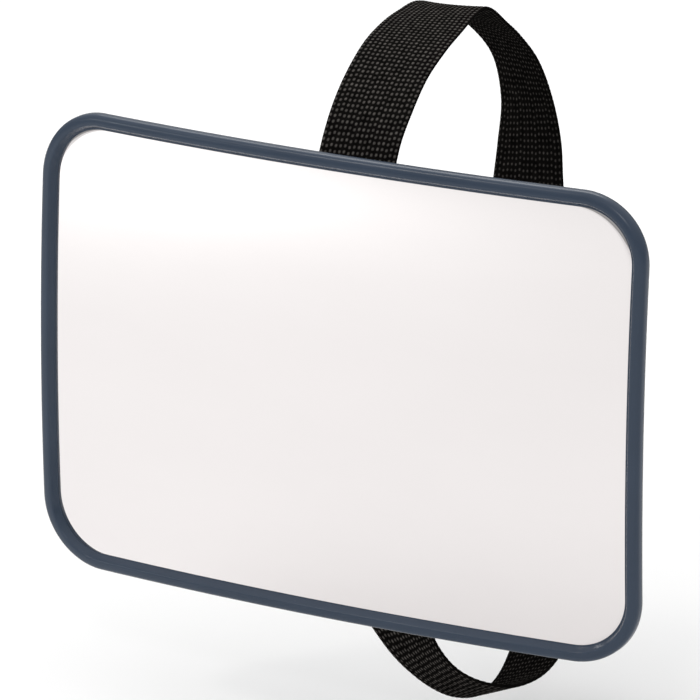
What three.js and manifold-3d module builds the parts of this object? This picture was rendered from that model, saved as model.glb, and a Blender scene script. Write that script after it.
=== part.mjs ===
// Rear-seat convex mirror on a webbing loop, in millimetres, +Z up.
// The pane faces -Y. The part's origin is the middle of the grip pad's rear face, which rests on a headrest.
// Everything is placed in a group whose own origin is the middle of the pane's front, so a Y value
// there is a depth behind the pane.
import * as THREE from "three";
import { mergeVertices } from "three/addons/utils/BufferGeometryUtils.js";
import Module from "manifold-3d";

const wasm = await Module();
wasm.setup();

// ---- driving dimensions ----
const HEAD_WIDTH = 290;
const HEAD_HEIGHT = 203;
const HEAD_CORNER = 30;
const DOME_RADIUS = 1180;
const HEAD_DEPTH = 37; // from the middle of the pane's front to the headrest

const GAP = 0.3; // between two pieces that touch
const LIP_WIDTH = 7;
const LIP_RISE = 3.5;
const PANE_INSET = 4;
const PANE_THICKNESS = 2;
const FOAM_INSET = 5.3;
const FOAM_THICKNESS = 1.3;
const FOAM_GAP = 0.5;

const BALL_RADIUS = 8;
const BALL_DEPTH = 17.2;
const STEM_RADIUS = 4;
const LINER_THICKNESS = 1.2;
const SEAT_RADIUS = 13;
const SEAT_REAR = 3.8; // behind the ball's middle
const LINER_REAR = 2.4;
const HOUSING_WALL = 2.2;
const HOUSING_FLANGE_RADIUS = 27;
const HOUSING_FLANGE_FRONT = 11.5;
const HOUSING_FLANGE_THICKNESS = 2.2;
const HOUSING_REAR = 20.9;
const COLLAR_RADIUS = 17.8;
const COLLAR_REAR = 23.2;
const COLLAR_LIP = 1.9;
const COLLAR_MOUTH = 9;
const COLLAR_GRIPS = 16;
const GRIP_RISE = 0.6;
const SCREW_CIRCLE = 22.5;
const HOUSING_SCREWS = 4;
const SCREW_SHANK = 1.4;
const SCREW_HOLE = 1.8;
const SCREW_HEAD = 2.6;

const PLATE_FRONT = 29.4;
const PLATE_THICKNESS = 3;
const PLATE_WIDTH = 66;
const PLATE_HEIGHT = 100;
const PLATE_CORNER = 9;
const SLOT_WIDTH = 49;
const SLOT_LOW = 36;
const SLOT_HIGH = 43;
const STUD_BORE = 2.1;
const STUD_SHANK = 1.8;
const PAD_WIDTH = 56;
const PAD_HEIGHT = 60;
const PAD_CORNER = 8;
const PAD_POCKET = 6.2;
const PAD_GROOVES = [-24, -18, -12, 12, 18, 24]; // heights of the grooves across the pad
const GROOVE_DEPTH = 0.8;
const GROOVE_WIDTH = 1.6;

const STRAP_WIDTH = 38;
const STRAP_THICKNESS = 1.4;

const BUCKLE_PLACE = [14.5, 169, -18]; // the middle of the socket's mouth
const BUCKLE_LEAN = THREE.MathUtils.degToRad(15);
const BUCKLE_WIDTH = 50;
const BUCKLE_THICKNESS = 11;
const SOCKET_HEIGHT = 45;
const BAR_THICKNESS = 3.2;
const CAVITY_WIDTH = 44.4;
const CAVITY_HEIGHT = 31;
const CAVITY_THICKNESS = 6;
const WINDOW_LOW = 5.5;
const WINDOW_HIGH = 18.5;
const PLUG_HEIGHT = 25.5;
const PLUG_THICKNESS = 6.4;
const ARM_THICKNESS = 5;

const ROUND_SEGMENTS = 36;
const ARC_STEPS = 7;
const CORNER_STEPS = 5;
const SIDE_STEPS = 5;
const BEVEL = 0.6;
const MERGE_DISTANCE = 1e-4;

// ---- materials ----
function plain(color, roughness, metalness = 0) {
  return new THREE.MeshStandardMaterial({ color, roughness, metalness });
}

const SLATE = plain(0x3c4858, 0.38);
const MIRROR = plain(0xe8e5e4, 0.04, 1);
const FOAM = plain(0xb9bab4, 0.95);
const DARK_PLASTIC = plain(0x24282e, 0.5);
const NYLON = plain(0xd9d4c4, 0.45);
const STEEL = plain(0xb4b6b8, 0.3, 1);
const RUBBER = plain(0x1c1c1e, 0.9);
const WEBBING = plain(0x1b1b1e, 0.85);
const BUCKLE_PLASTIC = plain(0x141416, 0.42);

// ---- solids ----
// A copy of a geometry with nothing left but its positions, so that equal corners can be merged.
function bareCopy(geometry) {
  const copy = geometry.clone();
  copy.deleteAttribute("normal");
  copy.deleteAttribute("uv");
  return copy;
}

// A closed geometry as a manifold-3d solid, for cutting and joining.
function solidOf(geometry) {
  const merged = mergeVertices(bareCopy(geometry), MERGE_DISTANCE);
  const mesh = new wasm.Mesh({
    numProp: 3,
    vertProperties: merged.attributes.position.array,
    triVerts: new Uint32Array(merged.index.array),
  });
  return new wasm.Manifold(mesh);
}

function geometryOf(solid) {
  const mesh = solid.getMesh();
  const geometry = new THREE.BufferGeometry();
  geometry.setAttribute("position", new THREE.BufferAttribute(mesh.vertProperties, 3));
  geometry.setIndex(new THREE.BufferAttribute(mesh.triVerts, 1));
  return geometry;
}

function cut(geometry, tools) {
  const left = tools.reduce((solid, tool) => solid.subtract(solidOf(tool)), solidOf(geometry));
  return geometryOf(left);
}

function join(geometry, others) {
  const whole = others.reduce((solid, other) => solid.add(solidOf(other)), solidOf(geometry));
  return geometryOf(whole);
}

function overlapOf(a, b) {
  return geometryOf(solidOf(a).intersect(solidOf(b)));
}

// Turns the faces of a closed, indexed geometry outwards if they face in.
function facingOut(geometry) {
  const position = geometry.attributes.position;
  const index = geometry.index.array;
  const corner = [new THREE.Vector3(), new THREE.Vector3(), new THREE.Vector3()];
  let volume = 0;
  for (let i = 0; i < index.length; i += 3) {
    corner.forEach((point, j) => point.fromBufferAttribute(position, index[i + j]));
    volume += corner[0].dot(corner[1].clone().cross(corner[2]));
  }
  if (volume > 0) return geometry;
  for (let i = 0; i < index.length; i += 3) {
    [index[i + 1], index[i + 2]] = [index[i + 2], index[i + 1]];
  }
  return geometry;
}

// Joins loops of equally many points into one skin. The skin closes onto its first loop like a tyre,
// or is capped at its first and last loops.
function loft(loops, capped) {
  const count = loops[0].length;
  const points = loops.flat();
  const index = [];
  const pairs = capped ? loops.length - 1 : loops.length;
  for (let row = 0; row < pairs; row++) {
    const next = (row + 1) % loops.length;
    for (let i = 0; i < count; i++) {
      const j = (i + 1) % count;
      const [a, b, c, d] = [row * count + i, row * count + j, next * count + j, next * count + i];
      index.push(a, b, c, a, c, d);
    }
  }
  if (capped) {
    [0, loops.length - 1].forEach((row) => {
      const middle = loops[row].reduce((sum, p) => sum.add(p), new THREE.Vector3());
      const centre = points.push(middle.divideScalar(count)) - 1;
      for (let i = 0; i < count; i++) {
        const a = row * count + i;
        const b = row * count + ((i + 1) % count);
        index.push(...(row === 0 ? [centre, b, a] : [centre, a, b]));
      }
    });
  }
  const geometry = new THREE.BufferGeometry().setFromPoints(points);
  geometry.setIndex(index);
  return facingOut(geometry);
}

function box(from, to) {
  const size = to.map((high, i) => high - from[i]);
  const middle = to.map((high, i) => (high + from[i]) / 2);
  return new THREE.BoxGeometry(...size).translate(...middle);
}

// A cylinder along Y between two depths.
function rod(radius, front, rear, x = 0, z = 0, segments = 16) {
  const geometry = new THREE.CylinderGeometry(radius, radius, rear - front, segments);
  return geometry.translate(x, (front + rear) / 2, z);
}

// A solid of revolution about Y. Its profile is a list of [radius, depth] that starts and ends on the axis.
function turned(profile) {
  const points = profile.map(([radius, depth]) => new THREE.Vector2(radius, depth));
  const geometry = mergeVertices(bareCopy(new THREE.LatheGeometry(points, ROUND_SEGMENTS)), MERGE_DISTANCE);
  return facingOut(withoutSlivers(geometry));
}

// Drops the triangles that collapse to a line where a profile meets the axis.
function withoutSlivers(geometry) {
  const kept = [];
  const index = geometry.index.array;
  for (let i = 0; i < index.length; i += 3) {
    const [a, b, c] = [index[i], index[i + 1], index[i + 2]];
    if (a !== b && b !== c && a !== c) kept.push(a, b, c);
  }
  geometry.setIndex(kept);
  return geometry;
}

// Points [radius, depth] along a circle centred on the ball, from one depth behind its middle to another.
function ballArc(radius, from, to) {
  const start = Math.acos(THREE.MathUtils.clamp(-from / radius, -1, 1));
  const end = Math.acos(THREE.MathUtils.clamp(-to / radius, -1, 1));
  return Array.from({ length: ARC_STEPS + 1 }, (_, i) => {
    const angle = start + ((end - start) * i) / ARC_STEPS;
    return [radius * Math.sin(angle), BALL_DEPTH - radius * Math.cos(angle)];
  });
}

// A flat outline in X and Z, extruded along Y from one depth, with bevelled edges.
function slab(shape, front, thickness, bevel = BEVEL) {
  const geometry = new THREE.ExtrudeGeometry(shape, {
    depth: thickness - 2 * bevel,
    bevelEnabled: bevel > 0,
    bevelThickness: bevel,
    bevelSize: bevel,
    bevelOffset: -bevel,
    bevelSegments: 1,
    curveSegments: CORNER_STEPS,
  });
  geometry.rotateX(Math.PI / 2);
  return geometry.translate(0, front + thickness - bevel, 0);
}

function roundedShape(width, height, corner, x = 0, z = 0) {
  const [right, top] = [x + width / 2, z + height / 2];
  const [left, low] = [x - width / 2, z - height / 2];
  const shape = new THREE.Shape();
  shape.moveTo(left + corner, low);
  shape.lineTo(right - corner, low);
  shape.absarc(right - corner, low + corner, corner, -Math.PI / 2, 0, false);
  shape.lineTo(right, top - corner);
  shape.absarc(right - corner, top - corner, corner, 0, Math.PI / 2, false);
  shape.lineTo(left + corner, top);
  shape.absarc(left + corner, top - corner, corner, Math.PI / 2, Math.PI, false);
  shape.lineTo(left, low + corner);
  shape.absarc(left + corner, low + corner, corner, Math.PI, Math.PI * 1.5, false);
  return shape;
}

function named(name, geometry, material) {
  const mesh = new THREE.Mesh(geometry, material);
  mesh.name = name;
  return mesh;
}

// ---- the domed head ----
// How far the dome falls back at a place on the face.
function sag(x, z) {
  return (x * x + z * z) / (2 * DOME_RADIUS);
}

// The head's rounded outline, moved in by an inset, as [x, z] points. All insets give as many points.
function outline(inset) {
  const corner = Math.max(HEAD_CORNER - inset, HEAD_CORNER / 3);
  const [halfX, halfZ] = [HEAD_WIDTH / 2 - inset - corner, HEAD_HEIGHT / 2 - inset - corner];
  const corners = [[1, -1], [1, 1], [-1, 1], [-1, -1]];
  const points = [];
  corners.forEach(([sideX, sideZ], k) => {
    for (let i = 0; i <= CORNER_STEPS; i++) {
      const angle = ((k - 1) * Math.PI) / 2 + (i / CORNER_STEPS) * (Math.PI / 2);
      points.push([sideX * halfX + corner * Math.cos(angle), sideZ * halfZ + corner * Math.sin(angle)]);
    }
    const last = points[points.length - 1];
    const [nextX, nextZ] = corners[(k + 1) % corners.length];
    const turn = (k * Math.PI) / 2;
    const next = [nextX * halfX + corner * Math.cos(turn), nextZ * halfZ + corner * Math.sin(turn)];
    for (let i = 1; i < SIDE_STEPS; i++) {
      const share = i / SIDE_STEPS;
      points.push([last[0] + (next[0] - last[0]) * share, last[1] + (next[1] - last[1]) * share]);
    }
  });
  return points;
}

// A loop that follows the dome, at an inset from the head's edge and a depth behind the dome.
function domedLoop(inset, depth, scale = 1) {
  return outline(inset).map(([x, z]) => {
    return new THREE.Vector3(x * scale, depth + sag(x * scale, z * scale), z * scale);
  });
}

// A round loop at one depth, whose points lie in the same directions as the outline's.
function roundLoop(radius, depth) {
  return outline(HEAD_HEIGHT / 4).map(([x, z]) => {
    const angle = Math.atan2(z, x);
    return new THREE.Vector3(radius * Math.cos(angle), depth, radius * Math.sin(angle));
  });
}

// A domed sheet with the head's outline.
function domedSheet(inset, front, thickness) {
  const scales = [0.05, 0.3, 0.55, 0.8, 1];
  const rear = front + thickness;
  const frontLoops = scales.map((scale) => domedLoop(inset, front, scale));
  const rearLoops = scales.map((scale) => domedLoop(inset, rear, scale));
  return loft([...frontLoops, ...rearLoops.reverse()], true);
}

function bezel() {
  const paneFront = -GAP;
  const wall = PANE_INSET - 0.7; // the ring's inner wall, beside the pane's edge
  const profile = [
    [0, 1.2], [0, -1.6], [0.5, -2.7], [1.6, -3.3], [3.4, -LIP_RISE], [5, -3.2], [5.7, -2.8],
    [LIP_WIDTH, paneFront], [wall, paneFront], [wall, 3.2],
  ];
  return loft(profile.map(([inset, depth]) => domedLoop(inset, depth)), false);
}

function mirrorPane() {
  return domedSheet(PANE_INSET, 0, PANE_THICKNESS);
}

function backingFoam() {
  return domedSheet(FOAM_INSET, PANE_THICKNESS + FOAM_GAP, FOAM_THICKNESS);
}

// Places of the housing's screws, as [x, z].
function screwPlaces() {
  return Array.from({ length: HOUSING_SCREWS }, (_, i) => {
    const angle = Math.PI / 4 + (i * 2 * Math.PI) / HOUSING_SCREWS;
    return [SCREW_CIRCLE * Math.cos(angle), SCREW_CIRCLE * Math.sin(angle)];
  });
}

const COVER_REAR = HOUSING_FLANGE_FRONT - GAP;
const COVER_WALL = 2.2;
const RIB_FRONT = 4.4;
const RIB_THICKNESS = 1.6;
const UPRIGHT_RIBS = [-100, -50, 50, 100];
const LEVEL_RIBS = [-50, 50];
const BOSS_RADIUS = 3.6;
const HOUSING_RADIUS = SEAT_RADIUS + GAP + HOUSING_WALL;

// The rear shell: a shallow dish with a tongue that holds the pane's edge.
function coverShell() {
  const hole = HOUSING_RADIUS - 3;
  const rearSkin = [[0.4, 1.75], [0.8, 2.8], [6, 6.3], [16, 8.6], [34, 9.8], [56, 10.4]];
  const frontSkin = [
    [56, 10.4 - COVER_WALL], [34, 9.8 - COVER_WALL], [16, 8.6 - COVER_WALL], [9, 4.1], [4.8, 4.1],
    [4.8, 2.3], [3.6, 2.3], [3.6, 3.75],
  ];
  const loops = [
    ...rearSkin.map(([inset, depth]) => domedLoop(inset, depth)),
    roundLoop(HOUSING_FLANGE_RADIUS + 1.5, COVER_REAR),
    roundLoop(hole, COVER_REAR),
    roundLoop(hole, COVER_REAR - COVER_WALL),
    roundLoop(HOUSING_FLANGE_RADIUS + 1.5, COVER_REAR - COVER_WALL),
    ...frontSkin.map(([inset, depth]) => domedLoop(inset, depth)),
  ];
  return cut(loft(loops, false), [rod(HOUSING_RADIUS + 0.4, 0, HEAD_DEPTH, 0, 0, ROUND_SEGMENTS)]);
}

// The space inside the cover, from behind the foam to the middle of the shell's wall.
function coverInside() {
  const loops = [
    domedLoop(10, RIB_FRONT, 0.1), domedLoop(10, RIB_FRONT, 0.5), domedLoop(10, RIB_FRONT),
    domedLoop(16, 7.5), domedLoop(34, 8.7), domedLoop(56, 9.3),
    roundLoop(HOUSING_FLANGE_RADIUS + 1.5, COVER_REAR - 1),
  ];
  return loft(loops, true);
}

// Stiffening ribs up and across the inside of the cover.
function coverRibs() {
  const half = RIB_THICKNESS / 2;
  const uprights = UPRIGHT_RIBS.map((x) => {
    return box([x - half, 0, -HEAD_HEIGHT / 2], [x + half, HEAD_DEPTH, HEAD_HEIGHT / 2]);
  });
  const levels = LEVEL_RIBS.map((z) => {
    return box([-HEAD_WIDTH / 2, 0, z - half], [HEAD_WIDTH / 2, HEAD_DEPTH, z + half]);
  });
  const [first, ...others] = [...uprights, ...levels];
  return overlapOf(coverInside(), join(first, others));
}

function rearCover() {
  const bosses = screwPlaces().map(([x, z]) => rod(BOSS_RADIUS, RIB_FRONT + 0.8, COVER_REAR - 1, x, z));
  const holes = screwPlaces().map(([x, z]) => rod(SCREW_HOLE, 3, COVER_REAR + 3, x, z));
  return cut(join(coverShell(), [coverRibs(), ...bosses]), holes);
}

function housingScrew(x, z) {
  const head = HOUSING_FLANGE_FRONT + HOUSING_FLANGE_THICKNESS + GAP;
  const drive = rod(1, head + 0.9, head + 3, x, z, 6);
  const whole = join(rod(SCREW_SHANK, 6, head + 0.5, x, z, 16), [rod(SCREW_HEAD, head, head + 1.7, x, z, 20)]);
  return cut(whole, [drive]);
}

// ---- the ball joint ----
function ballHousing() {
  const floorFront = 4.4;
  const floorRear = 5.9;
  const bore = SEAT_RADIUS + GAP;
  const flangeRear = HOUSING_FLANGE_FRONT + HOUSING_FLANGE_THICKNESS;
  const cup = turned([
    [0, floorFront], [HOUSING_RADIUS, floorFront], [HOUSING_RADIUS, HOUSING_FLANGE_FRONT],
    [HOUSING_FLANGE_RADIUS, HOUSING_FLANGE_FRONT], [HOUSING_FLANGE_RADIUS, flangeRear],
    [HOUSING_RADIUS, flangeRear], [HOUSING_RADIUS, HOUSING_REAR], [bore, HOUSING_REAR],
    [bore, floorRear], [0, floorRear],
  ]);
  return cut(cup, screwPlaces().map(([x, z]) => rod(SCREW_HOLE, 8, 20, x, z)));
}

function ballSeat() {
  const cavity = BALL_RADIUS + 2 * GAP + LINER_THICKNESS;
  const front = 6.2;
  const rear = BALL_DEPTH + SEAT_REAR;
  const seat = turned([
    [0, front], [SEAT_RADIUS, front], [SEAT_RADIUS, rear],
    ...ballArc(cavity, -cavity, SEAT_REAR).reverse(),
  ]);
  const slits = [0, 1].map((turn) => {
    const slit = box([-SEAT_RADIUS - 1, BALL_DEPTH - 3, -0.7], [SEAT_RADIUS + 1, rear + 1, 0.7]);
    return slit.rotateY(Math.PI / 4 + (turn * Math.PI) / 2);
  });
  return cut(seat, slits);
}

function frictionLiner() {
  const inner = BALL_RADIUS + GAP;
  const outer = inner + LINER_THICKNESS;
  return turned([...ballArc(outer, -outer, LINER_REAR), ...ballArc(inner, -inner, LINER_REAR).reverse()]);
}

// The knurled clamp ring, whose rear lip holds the seat in the housing.
function collarNut() {
  const front = HOUSING_FLANGE_FRONT + HOUSING_FLANGE_THICKNESS + 0.4;
  const bore = HOUSING_RADIUS + GAP;
  const lipFront = COLLAR_REAR - COLLAR_LIP;
  const chamfer = 0.8;
  const profile = [
    [bore, front, 0], [COLLAR_RADIUS, front, 0], [COLLAR_RADIUS, front + chamfer, 1],
    [COLLAR_RADIUS, COLLAR_REAR - 2, 1], [COLLAR_RADIUS - chamfer, COLLAR_REAR, 0],
    [COLLAR_MOUTH + chamfer, COLLAR_REAR, 0], [COLLAR_MOUTH, COLLAR_REAR - chamfer, 0],
    [COLLAR_MOUTH, lipFront, 0], [bore, lipFront, 0],
  ];
  const stepsPerGrip = 4;
  const count = COLLAR_GRIPS * stepsPerGrip;
  const loops = profile.map(([radius, depth, grip]) => {
    return Array.from({ length: count }, (_, i) => {
      const raised = i % stepsPerGrip < stepsPerGrip / 2 ? GRIP_RISE * grip : 0;
      const angle = (i * 2 * Math.PI) / count;
      return new THREE.Vector3((radius + raised) * Math.cos(angle), depth, (radius + raised) * Math.sin(angle));
    });
  });
  return loft(loops, false);
}

function ballStud() {
  const rear = PLATE_FRONT - GAP;
  const flangeFront = rear - 1.9;
  const neck = Math.sqrt(BALL_RADIUS ** 2 - STEM_RADIUS ** 2);
  return turned([
    ...ballArc(BALL_RADIUS, -BALL_RADIUS, neck),
    [STEM_RADIUS, flangeFront - 0.8], [STEM_RADIUS + 0.8, flangeFront], [7.5, flangeFront],
    [7.5, rear], [STUD_BORE, rear], [STUD_BORE, BALL_DEPTH], [0, BALL_DEPTH - 1],
  ]);
}

// ---- the bracket ----
function strapBracket() {
  const shape = roundedShape(PLATE_WIDTH, PLATE_HEIGHT, PLATE_CORNER);
  const slotMiddle = (SLOT_LOW + SLOT_HIGH) / 2;
  [-slotMiddle, slotMiddle].forEach((z) => {
    shape.holes.push(roundedShape(SLOT_WIDTH, SLOT_HIGH - SLOT_LOW, 1.5, 0, z));
  });
  const plate = slab(shape, PLATE_FRONT, PLATE_THICKNESS);
  return cut(plate, [rod(STUD_SHANK + 0.4, PLATE_FRONT - 1, PLATE_FRONT + PLATE_THICKNESS + 1)]);
}

const PLATE_REAR = PLATE_FRONT + PLATE_THICKNESS;
const WASHER_REAR = PLATE_REAR + GAP + 0.6;

function studWasher() {
  const washer = rod(5, PLATE_REAR + GAP, WASHER_REAR, 0, 0, 32);
  return cut(washer, [rod(STUD_SHANK + 0.3, PLATE_REAR, WASHER_REAR + 1)]);
}

function studScrew() {
  const headFront = WASHER_REAR + 0.2;
  const headRear = headFront + 1.8;
  const shank = rod(STUD_SHANK, BALL_DEPTH + 1.5, headFront + 0.5);
  const drive = rod(1.2, headFront + 0.8, headRear + 1, 0, 0, 6);
  return cut(join(shank, [rod(3.6, headFront, headRear)]), [drive]);
}

// The rubber pad that rests on the headrest, with a pocket over the screw and grooves across its rear face.
function gripPad() {
  const front = PLATE_REAR + GAP;
  const shape = roundedShape(PAD_WIDTH, PAD_HEIGHT, PAD_CORNER);
  const pad = slab(shape, front, HEAD_DEPTH - front);
  const half = GROOVE_WIDTH / 2;
  const grooves = PAD_GROOVES.map((z) => {
    return box([-PAD_WIDTH, HEAD_DEPTH - GROOVE_DEPTH, z - half], [PAD_WIDTH, HEAD_DEPTH + 1, z + half]);
  });
  return cut(pad, [rod(PAD_POCKET, front - 1, WASHER_REAR + 2.5), ...grooves]);
}

// ---- the buckle, drawn upright in X and Z with its mouth at Z = 0 ----
// A place in the buckle's own space as a point in the mirror's.
function fromBuckle(x, y, z) {
  const point = new THREE.Vector3(x, y, z).applyAxisAngle(new THREE.Vector3(0, 1, 0), -BUCKLE_LEAN);
  return point.add(new THREE.Vector3(...BUCKLE_PLACE)).toArray();
}

function thinnedBar(low, high, halfWidth, thickness) {
  const half = BAR_THICKNESS / 2;
  return [
    box([-halfWidth, half, low], [halfWidth, thickness, high]),
    box([-halfWidth, -thickness, low], [halfWidth, -half, high]),
  ];
}

function buckleSocket() {
  const shape = roundedShape(BUCKLE_WIDTH, SOCKET_HEIGHT, 5, 0, SOCKET_HEIGHT / 2);
  const body = slab(shape, -BUCKLE_THICKNESS / 2, BUCKLE_THICKNESS, 1.2);
  const [cavityX, cavityY] = [CAVITY_WIDTH / 2, CAVITY_THICKNESS / 2];
  const slotHalf = STRAP_WIDTH / 2 + 1;
  const cavity = box([-cavityX, -cavityY, -1], [cavityX, cavityY, CAVITY_HEIGHT]);
  const windows = box([-BUCKLE_WIDTH, -cavityY, WINDOW_LOW], [BUCKLE_WIDTH, cavityY, WINDOW_HIGH]);
  const strapSlot = box([-slotHalf, -BUCKLE_THICKNESS, 34.5], [slotHalf, BUCKLE_THICKNESS, 40]);
  const bar = thinnedBar(39.9, SOCKET_HEIGHT + 1, slotHalf, BUCKLE_THICKNESS);
  return cut(body, [cavity, windows, strapSlot, ...bar]);
}

function bucklePlug() {
  const top = -GAP;
  const shape = roundedShape(BUCKLE_WIDTH, PLUG_HEIGHT, 4, 0, top - PLUG_HEIGHT / 2);
  const base = slab(shape, -PLUG_THICKNESS / 2, PLUG_THICKNESS, 1);
  const blade = box([-5, -1.7, top - 1], [5, 1.7, 22]);
  const slotHalf = STRAP_WIDTH / 2 + 1;
  const strapSlots = [[-8.5, -3.5], [-20, -12]].map(([low, high]) => {
    return box([-slotHalf, -PLUG_THICKNESS, low], [slotHalf, PLUG_THICKNESS, high]);
  });
  const bars = thinnedBar(-PLUG_HEIGHT - 1, -3.4, slotHalf, PLUG_THICKNESS);
  return cut(join(base, [blade]), [...strapSlots, ...bars]);
}

// A sprung arm with the press pad that stands in the socket's window. side is -1 for left, 1 for right.
function buckleArm(side) {
  const outer = CAVITY_WIDTH / 2 - 0.4;
  const pad = BUCKLE_WIDTH / 2 + 0.5;
  const profile = [
    [outer - 4.6, 0.2], [outer, 0.2], [outer, WINDOW_LOW + 0.5], [pad, WINDOW_LOW + 0.7], [pad, 13],
    [outer, 17.2], [outer - 1.5, 23.5], [outer - 4, 24], [outer - 5, 20], [outer - 3.4, 12],
  ];
  const shape = new THREE.Shape(profile.map(([x, z]) => new THREE.Vector2(side * x, z)));
  return slab(shape, -ARM_THICKNESS / 2, ARM_THICKNESS, 0);
}

function buckle() {
  const group = new THREE.Group();
  group.position.set(...BUCKLE_PLACE);
  group.rotation.y = -BUCKLE_LEAN;
  group.add(
    named("buckle_socket", buckleSocket(), BUCKLE_PLASTIC),
    named("buckle_plug", bucklePlug(), BUCKLE_PLASTIC),
    named("buckle_arm_left", buckleArm(-1), BUCKLE_PLASTIC),
    named("buckle_arm_right", buckleArm(1), BUCKLE_PLASTIC),
  );
  return group;
}

// ---- the webbing ----
const LEVEL = [1, 0, 0];
const BUCKLE_ACROSS = [Math.cos(BUCKLE_LEAN), 0, Math.sin(BUCKLE_LEAN)];

// Each stop on a route is a middle point and the direction across the strap there.
function stops(across, points) {
  return points.map((point) => ({ point, across }));
}

// Round a bar in buckle space, from one face to the other; above is 1 to pass over the bar, -1 under it.
function roundBuckleBar(edge, above, faces) {
  const reach = BAR_THICKNESS / 2 + 1.3;
  const path = [[1, -2.2], [1, 0], [0.7, 1.1], [0, 1.5], [-0.7, 1.1], [-1, 0], [-1, -2.2]];
  return stops(BUCKLE_ACROSS, path.map(([across, out]) => {
    return fromBuckle(0, faces * across * reach, edge + above * out);
  }));
}

// Round one of the bracket's bars; side is 1 for the top bar and -1 for the bottom one.
function roundBracketBar(x, side, faces) {
  const middle = PLATE_FRONT + PLATE_THICKNESS / 2;
  const reach = PLATE_THICKNESS / 2 + 1.3;
  const path = [[1, 8], [1, 1.3], [0.7, -0.6], [0, -1.2], [-0.7, -0.6], [-1, 1.3], [-1, 8]];
  return stops(LEVEL, path.map(([across, up]) => {
    return [x, middle + faces * across * reach, side * (SLOT_HIGH + up)];
  }));
}

function upperRoute() {
  return [
    ...stops([0.99, -0.03, 0.1], [[-7, 35.6, 72], [-6.4, 33.9, 67], [-5.5, 32.2, 60]]),
    ...roundBracketBar(-4, 1, 1),
    ...stops([0.99, -0.03, 0.1], [[-5.2, 29.2, 58], [-6.5, 31.8, 67]]),
    ...stops([1, -0.02, 0.04], [[-8, 37, 82.5], [-9, 45, 97]]),
    ...stops([1, 0.01, 0.01], [[-9.5, 55.5, 109.5], [-10.5, 69, 120]]),
    ...stops([0.99, 0.1, 0.01], [[-11.5, 85, 128]]),
    ...stops([0.98, 0.15, 0.03], [[-13.8, 104, 132.4]]),
    ...stops([0.98, 0.08, 0.09], [[-16.5, 122.5, 134.6]]),
    ...stops([0.99, -0.09, 0.08], [[-18.5, 138.5, 133.8]]),
    ...stops([0.97, -0.23, 0.02], [[-18.8, 156.5, 126.6]]),
    ...stops([0.91, -0.42, 0.06], [[-15, 169.5, 117.8]]),
    ...stops([0.85, -0.5, 0.15], [[-8.9, 179, 104]]),
    ...stops([0.87, -0.43, 0.25], [[-4.5, 182, 86.5]]),
    ...stops([0.95, -0.23, 0.23], [[-1, 179, 66.5]]),
    ...stops([0.97, -0.1, 0.22], [[1, 174.8, 48]]),
    ...roundBuckleBar(40, -1, 1),
    ...stops(BUCKLE_ACROSS, [fromBuckle(0, -2.2, 47), fromBuckle(0, 0, 53), fromBuckle(0, 1.9, 58)]),
    ...stops(BUCKLE_ACROSS, [fromBuckle(0, 3.4, 63)]),
  ];
}

// The loose end of the lower strap and the strap itself leave the plug on two faces.
const LOOSE_END = [
  [36.5, 143.8, -88], [32.7, 150.6, -78], [29, 156.4, -68], [25.6, 162.8, -58],
];
const LOWER_RUN = [
  [22.4, 163.2, -47], [26, 158, -58.5], [31.5, 149.5, -75], [36.5, 141, -88], [41.5, 130, -102.5],
];

function lowerRoute() {
  return [
    ...stops([0.95, -0.03, 0.3], LOOSE_END),
    ...stops(BUCKLE_ACROSS, [fromBuckle(0, 3, -27), fromBuckle(0, 3, -19)]),
    ...roundBuckleBar(-8.5, 1, 1),
    ...stops(BUCKLE_ACROSS, [fromBuckle(0, -2.9, -22)]),
    ...stops([0.95, -0.03, 0.3], LOWER_RUN.slice(0, 2)),
    ...stops([0.92, -0.07, 0.38], LOWER_RUN.slice(2)),
    ...stops([0.89, -0.19, 0.41], [[46.5, 116, -119]]),
    ...stops([0.89, -0.27, 0.37], [[49.5, 100.5, -134.5]]),
    ...stops([0.85, -0.37, 0.37], [[48.5, 85.5, -144]]),
    ...stops([0.78, -0.48, 0.4], [[44, 73, -147]]),
    ...stops([0.7, -0.55, 0.45], [[36.5, 63, -145]]),
    ...stops([0.66, -0.57, 0.48], [[28.5, 56.5, -140]]),
    ...stops([0.68, -0.52, 0.51], [[20.5, 53, -132.5]]),
    ...stops([0.75, -0.41, 0.52], [[13, 51.5, -123]]),
    ...stops([0.85, -0.22, 0.49], [[7, 51, -111.5]]),
    ...stops([0.92, 0.02, 0.39], [[1.5, 50.5, -99]]),
    ...stops([0.95, 0.2, 0.25], [[-2, 49, -86]]),
    ...stops([0.97, 0.2, 0.1], [[-3.5, 44.5, -72]]),
    ...stops([0.99, 0.1, 0.03], [[-2.5, 38, -58.5]]),
    ...roundBracketBar(-1, -1, 1),
    ...stops(LEVEL, [[-1.6, 30.6, -55.5], [-2.2, 35.2, -61.5]]),
    ...stops([0.98, 0.18, 0.08], [[-3, 39.6, -68.5]]),
  ];
}

// The strap's frame at one place on its route: middle, along, across and out of its face.
function frameAt(route, t) {
  const middles = new THREE.CatmullRomCurve3(route.map(({ point }) => new THREE.Vector3(...point)));
  const acrosses = new THREE.CatmullRomCurve3(route.map(({ across }) => new THREE.Vector3(...across)));
  const along = middles.getTangent(t);
  const across = acrosses.getPoint(t);
  across.addScaledVector(along, -across.dot(along)).normalize();
  return { middle: middles.getPoint(t), along, across, out: new THREE.Vector3().crossVectors(across, along) };
}

function rectangleLoop({ middle, across, out }, width, thickness) {
  const corners = [[-1, -1], [1, -1], [1, 1], [-1, 1]];
  return corners.map(([x, y]) => {
    const point = middle.clone().addScaledVector(across, (x * width) / 2);
    return point.addScaledVector(out, (y * thickness) / 2);
  });
}

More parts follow.
